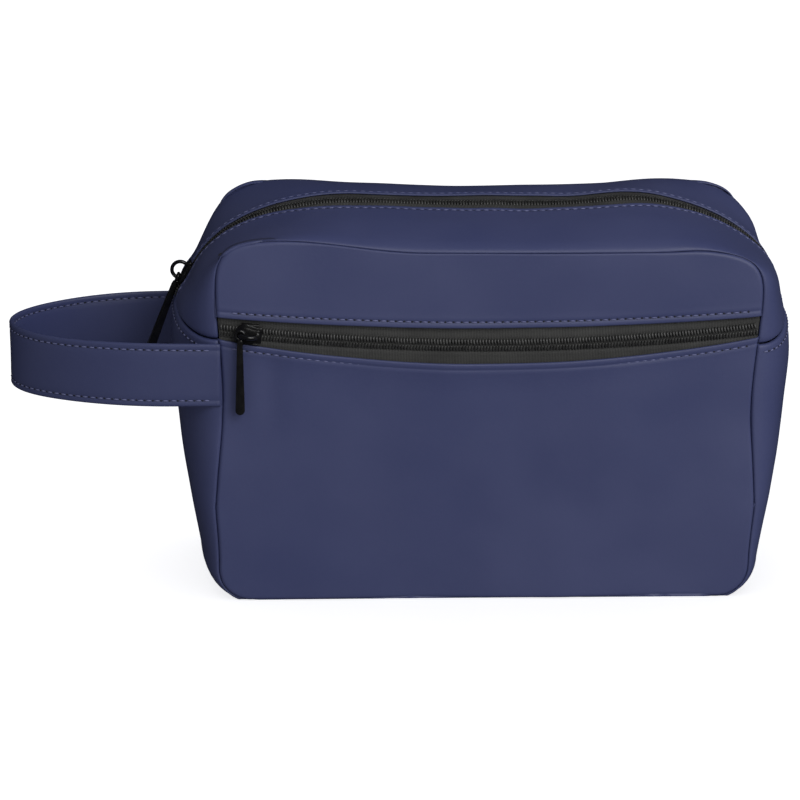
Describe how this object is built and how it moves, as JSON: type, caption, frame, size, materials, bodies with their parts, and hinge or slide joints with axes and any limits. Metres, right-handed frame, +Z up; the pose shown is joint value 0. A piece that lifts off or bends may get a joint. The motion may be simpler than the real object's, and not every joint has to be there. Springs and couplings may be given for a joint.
{
  "type": "zipped wash bag",
  "caption": "Boxy zipped grooming kit bag in coated fabric, with a swelling zip gusset on top, a zipped front pocket and a flat carry strap at one end.",
  "frame": {"origin": "on the floor, under the middle of the bag's body", "axes": "+Z up, front pocket towards -Y, carry strap towards -X, main zip along X"},
  "size_m": [0.3777, 0.1121, 0.1818],
  "materials": {
    "coated_fabric": "smooth matte coated weave",
    "strap_fabric": "smooth matte coated weave, folded and stitched",
    "lining": "plain woven nylon",
    "zip_tape": "ribbed woven polyester",
    "zip_coil": "nylon coil",
    "black_metal": "gloss black"
  },
  "bodies": {
    "bag": {"back_panel": "coated_fabric", "front_panel_upper": "coated_fabric", "front_panel_lower": "coated_fabric", "lower_gusset": "coated_fabric", "zip_gusset_front_left": "coated_fabric", "main_tape_front_left": "zip_tape", "main_coil_front_left": "zip_coil", "zip_gusset_front_right": "coated_fabric", "main_tape_front_right": "zip_tape", "main_coil_front_right": "zip_coil", "zip_gusset_back_left": "coated_fabric", "main_tape_back_left": "zip_tape", "main_coil_back_left": "zip_coil", "zip_gusset_back_right": "coated_fabric", "main_tape_back_right": "zip_tape", "main_coil_back_right": "zip_coil", "front_tape_upper": "zip_tape", "front_tape_lower_left": "zip_tape", "front_tape_lower_right": "zip_tape", "front_coil_upper": "zip_coil", "front_coil_lower_left": "zip_coil", "front_coil_lower_right": "zip_coil", "pocket_divider": "lining", "lining_gusset": "lining", "lining_back": "lining", "front_seam_binding": "lining", "back_seam_binding": "lining", "strap_root_front": "strap_fabric", "strap_root_back": "strap_fabric"},
    "front_lip": {"zip_gusset_front": "coated_fabric", "main_tape_front": "zip_tape", "main_coil_front": "zip_coil"},
    "back_lip": {"zip_gusset_back": "coated_fabric", "main_tape_back": "zip_tape", "main_coil_back": "zip_coil"},
    "pocket_lip": {"pocket_lip_panel": "coated_fabric", "front_tape_lower": "zip_tape", "front_coil_lower": "zip_coil"},
    "main_slider": {"main_slider_body": "black_metal", "main_slider_bridge": "black_metal"},
    "main_pull": {"main_pull": "black_metal"},
    "front_slider": {"front_slider_body": "black_metal", "front_slider_bridge": "black_metal"},
    "front_pull": {"front_pull": "black_metal"},
    "strap": {"carry_strap": "strap_fabric"}
  },
  "joints": [
    {"name": "front_lip_hinge", "type": "hinge", "parent": "bag", "child": "front_lip", "pos_m": [0, -0.05, 0.168], "axis": [1, 0, 0], "range_deg": [0, 55]},
    {"name": "back_lip_hinge", "type": "hinge", "parent": "bag", "child": "back_lip", "pos_m": [0, 0.05, 0.168], "axis": [-1, 0, 0], "range_deg": [0, 55]},
    {"name": "main_slider_arc", "type": "hinge", "parent": "bag", "child": "main_slider", "pos_m": [0, 0, 0.06486], "axis": [0, 1, 0], "range_deg": [0, 118.46]},
    {"name": "main_pull_lift", "type": "hinge", "parent": "main_slider", "child": "main_pull", "pos_m": [-0.14589, 0, 0.15171], "axis": [0, 1, 0], "range_deg": [0, 165]},
    {"name": "front_slider_arc", "type": "hinge", "parent": "bag", "child": "front_slider", "pos_m": [0, -0.0494, 1.27707], "axis": [0, -1, 0], "range_deg": [0, 11.07]},
    {"name": "front_pull_swing", "type": "hinge", "parent": "front_slider", "child": "front_pull", "pos_m": [-0.11538, -0.0554, 0.12727], "axis": [0, -1, 0], "range_deg": [-85, 60]},
    {"name": "pocket_lip_hinge", "type": "hinge", "parent": "bag", "child": "pocket_lip", "pos_m": [0, -0.0506, 0.096], "axis": [1, 0, 0], "range_deg": [0, 35]},
    {"name": "strap_swing", "type": "hinge", "parent": "bag", "child": "strap", "pos_m": [-0.146, 0, 0.108], "axis": [0, 1, 0], "range_deg": [-30, 30]}
  ],
  "couplings": [
    {"joint": "back_lip_hinge", "follows": "front_lip_hinge", "ratio": 1},
    {"joint": "main_slider_arc", "follows": "front_lip_hinge", "ratio": 2.1538}
  ]
}
